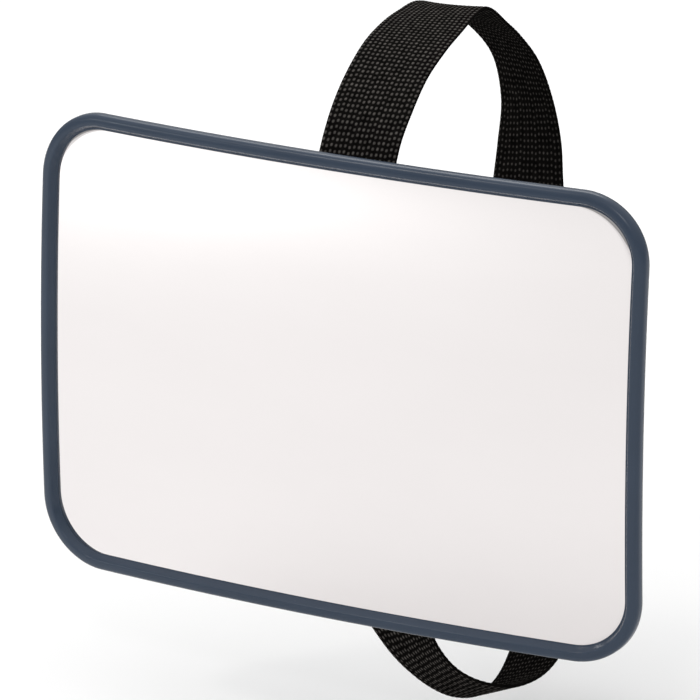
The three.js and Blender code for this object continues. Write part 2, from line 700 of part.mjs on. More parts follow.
function webbing(route) {
  const steps = 2 * (route.length - 1);
  const loops = Array.from({ length: steps + 1 }, (_, i) => {
    return rectangleLoop(frameAt(route, i / steps), STRAP_WIDTH, STRAP_THICKNESS);
  });
  return loft(loops, true);
}

// The elastic ring that keeps the loose end against the lower strap.
function strapKeeper() {
  const half = 4.5;
  const middle = new THREE.Vector3(31.9, 150.4, -76);
  const along = new THREE.Vector3(0.31, -0.52, -0.8).normalize();
  const across = new THREE.Vector3(0.935, -0.05, 0.34);
  across.addScaledVector(along, -across.dot(along)).normalize();
  const out = new THREE.Vector3().crossVectors(across, along);
  const ends = [-half, half].map((reach) => {
    return { middle: middle.clone().addScaledVector(along, reach), across, out };
  });
  const [inner, outer] = [[STRAP_WIDTH + 1.6, 6.2], [STRAP_WIDTH + 4, 8.2]];
  return loft([
    rectangleLoop(ends[0], ...outer), rectangleLoop(ends[1], ...outer),
    rectangleLoop(ends[1], ...inner), rectangleLoop(ends[0], ...inner),
  ], false);
}

// ---- assembly ----
function head() {
  const group = new THREE.Group();
  group.add(
    named("bezel", bezel(), SLATE),
    named("mirror_pane", mirrorPane(), MIRROR),
    named("backing_foam", backingFoam(), FOAM),
    named("rear_cover", rearCover(), DARK_PLASTIC),
    named("ball_housing", ballHousing(), DARK_PLASTIC),
    named("collar_nut", collarNut(), DARK_PLASTIC),
  );
  screwPlaces().forEach(([x, z], i) => {
    group.add(named(`housing_screw_${i + 1}`, housingScrew(x, z), STEEL));
  });
  return group;
}

function ballJoint() {
  const group = new THREE.Group();
  group.add(
    named("ball_seat", ballSeat(), NYLON),
    named("friction_liner", frictionLiner(), RUBBER),
    named("ball_stud", ballStud(), DARK_PLASTIC),
  );
  return group;
}

function bracket() {
  const group = new THREE.Group();
  group.add(
    named("strap_bracket", strapBracket(), DARK_PLASTIC),
    named("stud_washer", studWasher(), STEEL),
    named("stud_screw", studScrew(), STEEL),
    named("grip_pad", gripPad(), RUBBER),
  );
  return group;
}

function straps() {
  const group = new THREE.Group();
  group.add(
    named("upper_strap", webbing(upperRoute()), WEBBING),
    named("lower_strap", webbing(lowerRoute()), WEBBING),
    named("strap_keeper", strapKeeper(), WEBBING),
  );
  return group;
}

const fromPane = new THREE.Group();
fromPane.position.y = -HEAD_DEPTH;
fromPane.add(head(), ballJoint(), bracket(), straps(), buckle());

const mirror = new THREE.Group();
mirror.add(fromPane);

export default mirror;
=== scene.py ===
"""Looks for the rear-seat convex mirror on a webbing loop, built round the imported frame. Metres, +Z up."""
import math

import bmesh
import bpy
import numpy as np
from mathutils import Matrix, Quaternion, Vector


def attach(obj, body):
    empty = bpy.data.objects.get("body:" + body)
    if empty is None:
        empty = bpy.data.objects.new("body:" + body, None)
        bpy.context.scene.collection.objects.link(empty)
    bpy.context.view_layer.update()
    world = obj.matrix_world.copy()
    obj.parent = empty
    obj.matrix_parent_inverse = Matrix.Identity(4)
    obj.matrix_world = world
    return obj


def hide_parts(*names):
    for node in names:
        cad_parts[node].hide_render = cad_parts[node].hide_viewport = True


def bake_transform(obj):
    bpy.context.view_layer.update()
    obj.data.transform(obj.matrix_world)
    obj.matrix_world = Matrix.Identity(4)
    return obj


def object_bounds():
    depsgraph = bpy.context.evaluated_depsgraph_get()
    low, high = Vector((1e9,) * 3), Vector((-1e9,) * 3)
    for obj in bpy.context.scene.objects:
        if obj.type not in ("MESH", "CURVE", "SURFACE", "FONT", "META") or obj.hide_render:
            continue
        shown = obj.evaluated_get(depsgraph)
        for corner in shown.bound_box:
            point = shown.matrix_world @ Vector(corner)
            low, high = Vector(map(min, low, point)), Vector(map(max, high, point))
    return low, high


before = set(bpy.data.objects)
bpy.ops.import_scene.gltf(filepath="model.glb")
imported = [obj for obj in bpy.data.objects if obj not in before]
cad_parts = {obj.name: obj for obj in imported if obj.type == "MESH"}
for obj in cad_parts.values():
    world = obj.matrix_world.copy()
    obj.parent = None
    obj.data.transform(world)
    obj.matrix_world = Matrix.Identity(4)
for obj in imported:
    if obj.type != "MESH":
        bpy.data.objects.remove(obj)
cad_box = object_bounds()

MM = 0.001

# ---- the head, in millimetres; depths are behind the middle of the pane's front ----
HEAD_WIDTH = 290
HEAD_HEIGHT = 203
HEAD_CORNER = 30
DOME_RADIUS = 1180
HEAD_DEPTH = 37
LIP_WIDTH = 7
PANE_INSET = 4
PANE_THICKNESS = 2
WALL_INSET = 3.3
CORNER_STEPS = 28
SIDE_STEPS = 20
ROUND_STEPS = 96
FLAT_ANGLE = 1.0  # degrees; faces that meet more flatly than this are joined

# ---- the ball joint ----
BALL_RADIUS = 8
BALL_DEPTH = 17.2
STEM_RADIUS = 4
SEAT_RADIUS = 13
HOUSING_RADIUS = 15.5
FLANGE_RADIUS = 27
FLANGE_FRONT = 11.5
FLANGE_REAR = 13.7
HOUSING_REAR = 20.9
COLLAR_RADIUS = 17.8
COLLAR_REAR = 23.2
COLLAR_MOUTH = 9
COLLAR_GRIPS = 16
PLATE_FRONT = 29.4
PLATE_THICKNESS = 3
SLOT_HIGH = 43
HOUSING_SCREWS = 4

# ---- the webbing and its buckle ----
STRAP_WIDTH = 38
STRAP_CORE = 0.56  # half the thickness below the yarns
YARN_RISE = 0.2
COLUMN_PITCH = 2.24
ROW_PITCH = 2.64
INNER_FACE_PAINTED_SHADE = 0.84  # painted shade: yarn-top highlights on the strap's inner face are painted darker because that face catches less light
BUCKLE_PLACE = (14.5, 169, -18)
BUCKLE_LEAN = math.radians(15)
BUCKLE_WIDTH = 50
BAR_THICKNESS = 3.2

# ---- the camera ----
AZIMUTH = math.radians(29.7)
ELEVATION = math.radians(16.8)
DISTANCE = 3.0
VIEW_WIDTH = 0.293
SENSOR = 36.0
AIM_RIGHT = 0.0103
AIM_UP = 0.0171
ROLL = math.radians(0.5)

# ---- the studio ----
FLOOR_DROP = 0.012
HORIZON_LIGHT = 0.32
OVERHEAD_LIGHT = 1.17


# ---- node materials ----
def new_material(name):
    """A material with its node tree and its surface shader."""
    material = bpy.data.materials.new(name)
    material.use_nodes = True
    tree = material.node_tree
    return material, tree, tree.nodes["Principled BSDF"]


def add(tree, kind, links=(), **values):
    """A node with some of its inputs set to values and others linked from sockets."""
    node = tree.nodes.new(kind)
    for key, value in values.items():
        node.inputs[key.replace("_", " ")].default_value = value
    for key, socket in links:
        tree.links.new(socket, node.inputs[key])
    return node


def object_coordinates(tree, scale=(1, 1, 1)):
    coordinates = tree.nodes.new("ShaderNodeTexCoord")
    mapping = add(tree, "ShaderNodeMapping", [("Vector", coordinates.outputs["Object"])], Scale=scale)
    return mapping.outputs["Vector"]


def noise(tree, vector, scale, detail=2.0, roughness=0.5):
    node = add(tree, "ShaderNodeTexNoise", [("Vector", vector)], Scale=scale, Detail=detail)
    node.inputs["Roughness"].default_value = roughness
    return node.outputs["Fac"]


def ramp(tree, factor, low, high, start=0.3, end=0.7):
    node = add(tree, "ShaderNodeValToRGB", [("Fac", factor)])
    node.color_ramp.elements[0].position = start
    node.color_ramp.elements[1].position = end
    node.color_ramp.elements[0].color = (*low, 1)
    node.color_ramp.elements[1].color = (*high, 1)
    return node.outputs["Color"]


def spread(tree, factor, low, high):
    """A number between low and high that follows a factor between 0 and 1."""
    node = tree.nodes.new("ShaderNodeMapRange")
    tree.links.new(factor, node.inputs["Value"])
    node.inputs["To Min"].default_value = low
    node.inputs["To Max"].default_value = high
    return node.outputs["Result"]


def bump(tree, height, distance, strength=1.0, under=None):
    node = add(tree, "ShaderNodeBump", [("Height", height)], Distance=distance, Strength=strength)
    if under is not None:
        tree.links.new(under, node.inputs["Normal"])
    return node.outputs["Normal"]


def shade(color, factor):
    return tuple(min(1.0, channel * factor) for channel in color)


def moulded_plastic(name, color, roughness, grain=0.00002, grain_scale=1400, variation=0.12, gloss=0.4):
    """Injection moulded plastic: fine grain, faint flow clouds and uneven gloss."""
    material, tree, surface = new_material(name)
    surface.inputs["Specular IOR Level"].default_value = gloss
    place = object_coordinates(tree)
    clouds = noise(tree, place, 28, 3)
    fine = noise(tree, place, grain_scale, 3, 0.6)
    link = tree.links.new
    link(ramp(tree, clouds, shade(color, 1 - variation), shade(color, 1 + variation)),
         surface.inputs["Base Color"])
    patches = noise(tree, place, 90, 4)
    link(spread(tree, patches, roughness - 0.07, roughness + 0.07), surface.inputs["Roughness"])
    link(bump(tree, fine, grain), surface.inputs["Normal"])
    return material


def mirror_surface():
    """Silvered acrylic, with the faintest haze where it has been wiped."""
    material, tree, surface = new_material("mirror")
    surface.inputs["Metallic"].default_value = 1.0
    place = object_coordinates(tree, (1, 1, 3))
    haze = noise(tree, place, 9, 4)
    link = tree.links.new
    link(ramp(tree, haze, (0.856, 0.822, 0.819), (0.872, 0.838, 0.835)), surface.inputs["Base Color"])
    link(spread(tree, haze, 0.035, 0.06), surface.inputs["Roughness"])
    return material


def steel():
    """Zinc plated steel with turning marks."""
    material, tree, surface = new_material("steel")
    surface.inputs["Metallic"].default_value = 1.0
    place = object_coordinates(tree, (1, 14, 1))
    marks = noise(tree, place, 900, 2)
    link = tree.links.new
    link(ramp(tree, marks, (0.42, 0.42, 0.43), (0.62, 0.62, 0.62)), surface.inputs["Base Color"])
    link(spread(tree, marks, 0.25, 0.42), surface.inputs["Roughness"])
    link(bump(tree, marks, 0.00001), surface.inputs["Normal"])
    return material


def rubber():
    """Matt rubber with a fine open grain."""
    material, tree, surface = new_material("rubber")
    surface.inputs["Specular IOR Level"].default_value = 0.3
    place = object_coordinates(tree)
    grain = noise(tree, place, 2200, 4, 0.7)
    dust = noise(tree, place, 60, 5)
    link = tree.links.new
    link(ramp(tree, dust, (0.012, 0.012, 0.013), (0.026, 0.026, 0.027)), surface.inputs["Base Color"])
    link(spread(tree, dust, 0.72, 0.9), surface.inputs["Roughness"])
    link(bump(tree, grain, 0.00005), surface.inputs["Normal"])
    return material


def foam():
    """Closed cell foam tape."""
    material, tree, surface = new_material("foam")
    place = object_coordinates(tree)
    cells = add(tree, "ShaderNodeTexVoronoi", [("Vector", place)], Scale=1500)
    link = tree.links.new
    link(ramp(tree, cells.outputs["Distance"], (0.5, 0.51, 0.49), (0.66, 0.67, 0.64)),
         surface.inputs["Base Color"])
    surface.inputs["Roughness"].default_value = 0.95
    link(bump(tree, cells.outputs["Distance"], 0.0001), surface.inputs["Normal"])
    return material


def yarn_material(name, low, high, roughness, filaments=5200):
    """Woven yarn: bright yarn tops that are painted highlights, gaps painted black as shade between the
    yarns, and filaments. It reads the strap's own UV map.
    """
    material, tree, surface = new_material(name)
    surface.inputs["Specular IOR Level"].default_value = 0.0
    uv = tree.nodes.new("ShaderNodeUVMap")
    uv.uv_map = "strap"
    stretched = add(tree, "ShaderNodeMapping", [("Vector", uv.outputs["UV"])], Scale=(filaments, 350, 1))
    threads = noise(tree, stretched.outputs["Vector"], 1.0, 2)
    loose = add(tree, "ShaderNodeMapping", [("Vector", uv.outputs["UV"])], Scale=(380, 190, 1))
    patches = noise(tree, loose.outputs["Vector"], 1.0, 3)
    relief = tree.nodes.new("ShaderNodeAttribute")
    relief.attribute_name = "relief"
    painted_highlight_tone = ramp(tree, patches, low, high)
    # painted highlight and shade: the relief ramp keeps the yarn tops at full colour and darkens the gaps to
    # a twentieth
    depth = ramp(tree, relief.outputs["Fac"], (0.05, 0.05, 0.05), (1, 1, 1), 0.55, 1.0)
    mix = tree.nodes.new("ShaderNodeMix")
    mix.data_type = "RGBA"
    mix.blend_type = "MULTIPLY"
    mix.inputs["Factor"].default_value = 1.0
    link = tree.links.new
    link(painted_highlight_tone, mix.inputs["A"])
    link(depth, mix.inputs["B"])
    link(mix.outputs["Result"], surface.inputs["Base Color"])
    link(spread(tree, threads, roughness - 0.1, roughness + 0.12), surface.inputs["Roughness"])
    link(bump(tree, threads, 0.00005), surface.inputs["Normal"])
    return material


SLATE = moulded_plastic("slate_plastic", (0.034, 0.051, 0.081), 0.24, 0.000006, 1800, 0.05, 0.3)
DARK_PLASTIC = moulded_plastic("dark_plastic", (0.022, 0.026, 0.032), 0.5, 0.00004, 1500)
BUCKLE_PLASTIC = moulded_plastic("buckle_plastic", (0.011, 0.011, 0.012), 0.36, 0.000015, 1700)
NYLON = moulded_plastic("nylon", (0.62, 0.59, 0.5), 0.42, 0.00001, 1500)
MIRROR = mirror_surface()
STEEL = steel()
RUBBER = rubber()
FOAM = foam()
# the webbing and elastic colours are the painted highlight on the yarn tops; the gaps between are painted
# darker as shade
WEBBING = yarn_material("webbing", (0.062, 0.057, 0.053), (0.15, 0.138, 0.128), 0.5)
ELASTIC = yarn_material("elastic", (0.02, 0.02, 0.021), (0.032, 0.032, 0.033), 0.6)
THREAD = moulded_plastic("thread", (0.02, 0.02, 0.021), 0.5, 0.00004, 5000)


# ---- pieces ----
def piece(name, points, faces, body, material, nodes=(), smooth=True):
    """A mesh given in millimetres, with depths along Y, as a piece that rides on a body."""
    mesh = bpy.data.meshes.new(name)
    placed = np.asarray(points, float) * MM
    placed[:, 1] -= HEAD_DEPTH * MM
    mesh.from_pydata(placed.tolist(), [], faces)
    mesh.update()
    return finished(name, mesh, body, material, nodes, smooth)


def face_out(mesh):
    """Turns a closed mesh's faces outwards."""
    shell = bmesh.new()
    shell.from_mesh(mesh)
    bmesh.ops.recalc_face_normals(shell, faces=shell.faces)
    shell.to_mesh(mesh)
    shell.free()


def finished(name, mesh, body, material, nodes=(), smooth=True):
    """Turns a mesh's faces outwards and makes it a piece."""
    face_out(mesh)
    mesh.shade_smooth() if smooth else mesh.shade_flat()
    mesh.materials.clear()
    mesh.materials.append(material)
    thing = bpy.data.objects.new(name, mesh)
    bpy.context.collection.objects.link(thing)
    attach(thing, body)
    if nodes:
        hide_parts(*nodes)
    return thing


def skin(loops, ring=True):
    """Faces between loops of equally many points. A ring closes onto its first loop, else ends are capped."""
    count = len(loops[0])
    rows = len(loops)
    faces = []
    for row in range(rows if ring else rows - 1):
        after = (row + 1) % rows
        for i in range(count):
            j = (i + 1) % count
            faces.append((row * count + i, row * count + j, after * count + j, after * count + i))
    if not ring:
        faces.append(tuple(range(count))[::-1])
        faces.append(tuple(range((rows - 1) * count, rows * count)))
    return faces


def lathe(profile, steps=ROUND_STEPS):
    """Loops about the Y axis from a list of (radius, depth)."""
    angles = [2 * math.pi * i / steps for i in range(steps)]
    return [[(r * math.cos(a), depth, r * math.sin(a)) for a in angles] for r, depth in profile]


def ball_arc(radius, start, end, steps=20):
    """Points (radius, depth) along a circle about the ball's middle."""
    first = math.acos(max(-1.0, min(1.0, -start / radius)))
    last = math.acos(max(-1.0, min(1.0, -end / radius)))
    angles = [first + (last - first) * i / steps for i in range(steps + 1)]
    return [(radius * math.sin(a), BALL_DEPTH - radius * math.cos(a)) for a in angles]


def apply_modifiers(thing):
    """Bakes a piece's modifiers into its mesh."""
    bpy.context.view_layer.update()
    graph = bpy.context.evaluated_depsgraph_get()
    mesh = bpy.data.meshes.new_from_object(thing.evaluated_get(graph))
    thing.modifiers.clear()
    thing.data = mesh


def softened(node, body, material, width):
    """A copy of a CAD node with rounded edges."""
    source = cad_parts[node]
    mesh = source.data.copy()
    shell = bmesh.new()
    shell.from_mesh(mesh)
    bmesh.ops.remove_doubles(shell, verts=shell.verts, dist=0.002 * MM)
    flat = math.radians(FLAT_ANGLE)
    bmesh.ops.dissolve_limit(shell, angle_limit=flat, verts=shell.verts, edges=shell.edges)
    shell.to_mesh(mesh)
    shell.free()
    thing = finished(f"{node}_soft", mesh, body, material, [node])
    bevel = thing.modifiers.new("edges", "BEVEL")
    bevel.width = width * MM
    bevel.segments = 3
    bevel.limit_method = "ANGLE"
    bevel.angle_limit = math.radians(32)
    bevel.harden_normals = True
    bevel.use_clamp_overlap = True
    apply_modifiers(thing)
    return thing


# ---- the domed head ----
def sag(x, z):
    return (x * x + z * z) / (2 * DOME_RADIUS)


def outline(inset):
    """The head's rounded outline moved in by an inset, as (x, z) points."""
    corner = max(HEAD_CORNER - inset, HEAD_CORNER / 3)
    half_x = HEAD_WIDTH / 2 - inset - corner
    half_z = HEAD_HEIGHT / 2 - inset - corner
    corners = [(1, -1), (1, 1), (-1, 1), (-1, -1)]
    points = []
    for k, (side_x, side_z) in enumerate(corners):
        for i in range(CORNER_STEPS + 1):
            angle = (k - 1) * math.pi / 2 + i / CORNER_STEPS * math.pi / 2
            x = side_x * half_x + corner * math.cos(angle)
            z = side_z * half_z + corner * math.sin(angle)
            points.append((x, z))
        last = points[-1]
        next_x, next_z = corners[(k + 1) % 4]
        turn = k * math.pi / 2
        following = (next_x * half_x + corner * math.cos(turn), next_z * half_z + corner * math.sin(turn))
        for i in range(1, SIDE_STEPS):
            share = i / SIDE_STEPS
            x = last[0] + (following[0] - last[0]) * share
            z = last[1] + (following[1] - last[1]) * share
            points.append((x, z))
    return points


def domed_loop(inset, depth, scale=1.0):
    return [(x * scale, depth + sag(x * scale, z * scale), z * scale) for x, z in outline(inset)]


def round_loop(radius, depth):
    """A round loop whose points lie in the same directions as the outline's."""
    angles = [math.atan2(z, x) for x, z in outline(HEAD_HEIGHT / 4)]
    return [(radius * math.cos(a), depth, radius * math.sin(a)) for a in angles]


def flat_points(loops):
    return [point for loop in loops for point in loop]


def make_bezel():
    """The frame: a rounded outer wall, a crisp ridge, a sloped inner face and a narrow land at the pane."""
    profile = [
        (0.0, 1.2), (0.0, 0.2), (0.0, -0.8), (0.05, -1.5), (0.25, -2.15), (0.65, -2.7), (1.2, -3.08),
        (1.9, -3.32),
        (2.7, -3.45), (3.3, -3.49), (3.9, -3.5), (4.18, -3.46), (4.45, -3.35), (4.68, -3.18), (4.87, -2.92),
        (5.3, -2.1), (5.8, -1.16), (6.15, -0.5), (6.26, -0.3), (6.33, -0.19), (6.45, -0.12), (6.6, -0.1),
        (6.9, -0.1), (LIP_WIDTH, -0.07), (LIP_WIDTH - 0.1, -0.05),
        (WALL_INSET, -0.05), (WALL_INSET, 0.1), (WALL_INSET, 3.2), (WALL_INSET - 0.1, 3.2), (0.1, 1.3),
    ]
    loops = [domed_loop(inset, depth) for inset, depth in profile]
    return piece("bezel_moulding", flat_points(loops), skin(loops), "mirror_head", SLATE,
                 ["bezel"])


def make_pane():
    """The convex pane, silvered, with a ground edge."""
    scales = [0.02] + [i / 30 for i in range(1, 31)]
    front = [domed_loop(PANE_INSET, 0, scale) for scale in scales]
    rear = [domed_loop(PANE_INSET, PANE_THICKNESS, scale) for scale in scales[::-1]]
    edge = [domed_loop(PANE_INSET - 0.12, 0.15), domed_loop(PANE_INSET - 0.12, PANE_THICKNESS - 0.15)]
    loops = front + edge + rear
    return piece("convex_pane", flat_points(loops), skin(loops, False), "mirror_head", MIRROR,
                 ["mirror_pane"])


def make_rear_cover():
    """The rear shell, with a step round its edge and shallow stiffening grooves."""
    rear = [
        (0.4, 1.75), (0.42, 2.1), (0.55, 2.5), (0.9, 2.95), (1.6, 3.5), (3.2, 4.65), (6, 6.3), (9, 7.35),
        (12.5, 8.05), (16, 8.5), (18, 8.62), (18.6, 8.2), (20.4, 8.25), (21, 8.78), (27, 9.25), (34, 9.7),
        (45, 10.1), (56, 10.4),
    ]
    hole = HOUSING_RADIUS + 0.42
    front = [(56, 8.2), (34, 7.6), (16, 6.4), (9, 4.1), (4.8, 4.1), (4.8, 2.35), (3.6, 2.35), (3.6, 3.75)]
    rounds = [
        (FLANGE_RADIUS + 6, 11.0), (FLANGE_RADIUS + 1.6, 11.2), (FLANGE_RADIUS + 0.6, 11.2),
        (hole, 11.2), (hole, 9.0), (FLANGE_RADIUS + 1.5, 9.0),
    ]
    loops = [domed_loop(*spot) for spot in rear]
    loops += [round_loop(*spot) for spot in rounds]
    loops += [domed_loop(*spot) for spot in front]
    return piece("rear_shell", flat_points(loops), skin(loops), "mirror_head", DARK_PLASTIC,
                 ["rear_cover"])


# ---- the ball joint ----
def make_housing():
    """The socket that holds the ball: a cup through the shell and a screwed flange behind it."""
    bore = SEAT_RADIUS + 0.3
    profile = [
        (0.3, 4.4), (HOUSING_RADIUS - 0.5, 4.4), (HOUSING_RADIUS, 4.9), (HOUSING_RADIUS, FLANGE_FRONT),
        (FLANGE_RADIUS - 0.2, FLANGE_FRONT), (FLANGE_RADIUS, FLANGE_FRONT + 0.2),
        (FLANGE_RADIUS, FLANGE_REAR - 0.9), (FLANGE_RADIUS - 0.25, FLANGE_REAR - 0.3),
        (FLANGE_RADIUS - 0.9, FLANGE_REAR), (HOUSING_RADIUS + 1.2, FLANGE_REAR),
        (HOUSING_RADIUS, FLANGE_REAR + 0.3),
        (HOUSING_RADIUS, HOUSING_REAR - 0.3), (HOUSING_RADIUS - 0.3, HOUSING_REAR),
        (bore + 0.3, HOUSING_REAR),
        (bore, HOUSING_REAR - 0.3), (bore, 5.9), (0.3, 5.9),
    ]
    loops = lathe(sharpened(profile))
    return piece("joint_housing", flat_points(loops), skin(loops), "mirror_head", DARK_PLASTIC,
                 ["ball_housing"])


def sharpened(profile, closeness=0.12):
    """Adds points beside each corner of a profile, so that smooth shading keeps the corner crisp."""
    points = []
    count = len(profile)
    for i, spot in enumerate(profile):
        before, after = profile[i - 1], profile[(i + 1) % count]
        for other in (before, None, after):
            if other is None:
                points.append(spot)
                continue
            gap = math.dist(spot, other)
            if gap > 3 * closeness:
                share = closeness / gap
                points.append(tuple(a + (b - a) * share for a, b in zip(spot, other)))
    return points


def make_collar():
    """The knurled clamp ring. Its grips rise and fall smoothly round the ring."""
    front = FLANGE_REAR + 0.4
    bore = HOUSING_RADIUS + 0.3
    lip_front = COLLAR_REAR - 1.9
    profile = [
        (bore, front, 0), (COLLAR_RADIUS - 0.3, front, 0), (COLLAR_RADIUS, front + 0.3, 0.2),
        (COLLAR_RADIUS, front + 1.2, 1), (COLLAR_RADIUS, COLLAR_REAR - 2.4, 1),
        (COLLAR_RADIUS - 0.1, COLLAR_REAR - 1.5, 0.3), (COLLAR_RADIUS - 0.4, COLLAR_REAR - 0.5, 0),
        (COLLAR_RADIUS - 1.1, COLLAR_REAR, 0), (COLLAR_MOUTH + 0.8, COLLAR_REAR, 0),
        (COLLAR_MOUTH + 0.2, COLLAR_REAR - 0.25, 0), (COLLAR_MOUTH, COLLAR_REAR - 0.8, 0),
        (COLLAR_MOUTH, lip_front, 0), (bore, lip_front, 0),
    ]
    steps = COLLAR_GRIPS * 16
    loops = []
    for radius, depth, grip in profile:
        loop = []
        for i in range(steps):
            angle = 2 * math.pi * i / steps
            wave = 0.5 + 0.5 * math.tanh(3 * math.cos(COLLAR_GRIPS * angle - math.pi / 2))
            raised = radius + 0.6 * wave * grip
            loop.append((raised * math.cos(angle), depth, raised * math.sin(angle)))
        loops.append(loop)
    return piece("clamp_collar", flat_points(loops), skin(loops), "clamp_ring", DARK_PLASTIC,
                 ["collar_nut"])


def make_stud():
    """The ball on its stem."""
    rear = PLATE_FRONT - 0.3
    flange = rear - 1.9
    neck = math.sqrt(BALL_RADIUS**2 - STEM_RADIUS**2)
    profile = ball_arc(BALL_RADIUS, -BALL_RADIUS + 0.002, neck)
    profile += [
        (STEM_RADIUS, flange - 1.2), (STEM_RADIUS + 0.3, flange - 0.4), (STEM_RADIUS + 1.1, flange),
        (7.0, flange), (7.4, flange + 0.2), (7.5, flange + 0.6), (7.5, rear), (2.1, rear), (2.1, BALL_DEPTH),
        (0.05, BALL_DEPTH - 1),
    ]
    loops = lathe(profile)
    return piece("ball_and_stem", flat_points(loops), skin(loops, False), "bracket", DARK_PLASTIC,
                 ["ball_stud"])


# ---- the webbing ----
def from_buckle(x, y, z):
    """A place in the buckle's own space as a point in millimetres."""
    cos, sin = math.cos(BUCKLE_LEAN), math.sin(BUCKLE_LEAN)
    return (BUCKLE_PLACE[0] + x * cos - z * sin, BUCKLE_PLACE[1] + y, BUCKLE_PLACE[2] + x * sin + z * cos)


LEVEL = (1, 0, 0)
BUCKLE_ACROSS = (math.cos(BUCKLE_LEAN), 0, math.sin(BUCKLE_LEAN))


def stops(across, *points):
    return [(point, across) for point in points]


def round_buckle_bar(edge, above, faces):
    reach = BAR_THICKNESS / 2 + 1.3
    path = [(1, -2.2), (1, 0), (0.7, 1.1), (0, 1.5), (-0.7, 1.1), (-1, 0), (-1, -2.2)]
    return stops(BUCKLE_ACROSS, *[from_buckle(0, faces * a * reach, edge + above * out) for a, out in path])


def round_bracket_bar(x, side, faces):
    middle = PLATE_FRONT + PLATE_THICKNESS / 2
    reach = PLATE_THICKNESS / 2 + 1.3
    path = [(1, 8), (1, 1.3), (0.7, -0.6), (0, -1.2), (-0.7, -0.6), (-1, 1.3), (-1, 8)]
    return stops(LEVEL, *[(x, middle + faces * a * reach, side * (SLOT_HIGH + up)) for a, up in path])


def upper_route():
    return [
        *stops((0.99, -0.03, 0.1), (-7, 35.6, 72), (-6.4, 33.9, 67), (-5.5, 32.2, 60)),
        *round_bracket_bar(-4, 1, 1),
        *stops((0.99, -0.03, 0.1), (-5.2, 29.2, 58), (-6.5, 31.8, 67)),
        *stops((1, -0.02, 0.04), (-8, 37, 82.5), (-9, 45, 97)),
        *stops((1, 0.01, 0.01), (-9.5, 55.5, 109.5), (-10.5, 69, 120)),
        *stops((0.99, 0.1, 0.01), (-11.5, 85, 128)),
        *stops((0.98, 0.15, 0.03), (-13.8, 104, 132.4)),
        *stops((0.98, 0.08, 0.09), (-16.5, 122.5, 134.6)),
        *stops((0.99, -0.09, 0.08), (-18.5, 138.5, 133.8)),
        *stops((0.97, -0.23, 0.02), (-18.8, 156.5, 126.6)),
        *stops((0.91, -0.42, 0.06), (-15, 169.5, 117.8)),
        *stops((0.85, -0.5, 0.15), (-8.9, 179, 104)),
        *stops((0.87, -0.43, 0.25), (-4.5, 182, 86.5)),
        *stops((0.95, -0.23, 0.23), (-1, 179, 66.5)),
        *stops((0.97, -0.1, 0.22), (1, 174.8, 48)),
        *round_buckle_bar(40, -1, 1),
        *stops(BUCKLE_ACROSS, from_buckle(0, -2.2, 47), from_buckle(0, 0, 53), from_buckle(0, 1.9, 58)),
        *stops(BUCKLE_ACROSS, from_buckle(0, 3.4, 63)),
    ]


def lower_route():
    return [
        *stops((0.95, -0.03, 0.3), (36.5, 143.8, -88), (32.7, 150.6, -78)),
        *stops((0.95, -0.03, 0.3), (29, 156.4, -68), (25.6, 162.8, -58)),
        *stops(BUCKLE_ACROSS, from_buckle(0, 3, -27), from_buckle(0, 3, -19)),
        *round_buckle_bar(-8.5, 1, 1),
        *stops(BUCKLE_ACROSS, from_buckle(0, -2.9, -22)),
        *stops((0.95, -0.03, 0.3), (22.4, 163.2, -47), (26, 158, -58.5)),
        *stops((0.92, -0.07, 0.38), (31.5, 149.5, -75), (36.5, 141, -88), (41.5, 130, -102.5)),
        *stops((0.89, -0.19, 0.41), (46.5, 116, -119)),
        *stops((0.89, -0.27, 0.37), (49.5, 100.5, -134.5)),
        *stops((0.85, -0.37, 0.37), (48.5, 85.5, -144)),
        *stops((0.78, -0.48, 0.4), (44, 73, -147)),
        *stops((0.7, -0.55, 0.45), (36.5, 63, -145)),
        *stops((0.66, -0.57, 0.48), (28.5, 56.5, -140)),
        *stops((0.68, -0.52, 0.51), (20.5, 53, -132.5)),
        *stops((0.75, -0.41, 0.52), (13, 51.5, -123)),
        *stops((0.85, -0.22, 0.49), (7, 51, -111.5)),
        *stops((0.92, 0.02, 0.39), (1.5, 50.5, -99)),
        *stops((0.95, 0.2, 0.25), (-2, 49, -86)),
        *stops((0.97, 0.2, 0.1), (-3.5, 44.5, -72)),
        *stops((0.99, 0.1, 0.03), (-2.5, 38, -58.5)),
        *round_bracket_bar(-1, -1, 1),
        *stops(LEVEL, (-1.6, 30.6, -55.5), (-2.2, 35.2, -61.5)),
        *stops((0.98, 0.18, 0.08), (-3, 39.6, -68.5)),
    ]


def spline(points, steps):
    """A centripetal Catmull-Rom curve through points, with a number of steps in each span."""
    points = np.asarray(points, float)
    padded = np.vstack([2 * points[0] - points[1], points, 2 * points[-1] - points[-2]])
    out = []
    for i in range(len(points) - 1):
        p0, p1, p2, p3 = padded[i:i + 4]
        gaps = [max(np.sum((b - a) ** 2), 1e-9) ** 0.25 for a, b in ((p0, p1), (p1, p2), (p2, p3))]
        before, here, after = gaps
        start = ((p1 - p0) / before - (p2 - p0) / (before + here) + (p2 - p1) / here) * here
        end = ((p2 - p1) / here - (p3 - p1) / (here + after) + (p3 - p2) / after) * here
        t = (np.arange(steps) / steps)[:, None]
        cube = 2 * p1 - 2 * p2 + start + end
        square = -3 * p1 + 3 * p2 - 2 * start - end
        out.append(p1 + start * t + square * t**2 + cube * t**3)
    out.append(points[-1:])
    return np.vstack(out)


def smoothed(values, reach):
    """Averages each row of values with its neighbours, keeping the ends."""
    size = max(1, int(round(reach)))
    weights = np.exp(-0.5 * (np.arange(-3 * size, 3 * size + 1) / size) ** 2)
    weights /= weights.sum()
    extended = np.vstack([
        2 * values[0] - values[1:3 * size + 1][::-1],
        values,
        2 * values[-1] - values[-3 * size - 1:-1][::-1],
    ])
    return np.stack([np.convolve(extended[:, k], weights, "valid") for k in range(values.shape[1])], 1)


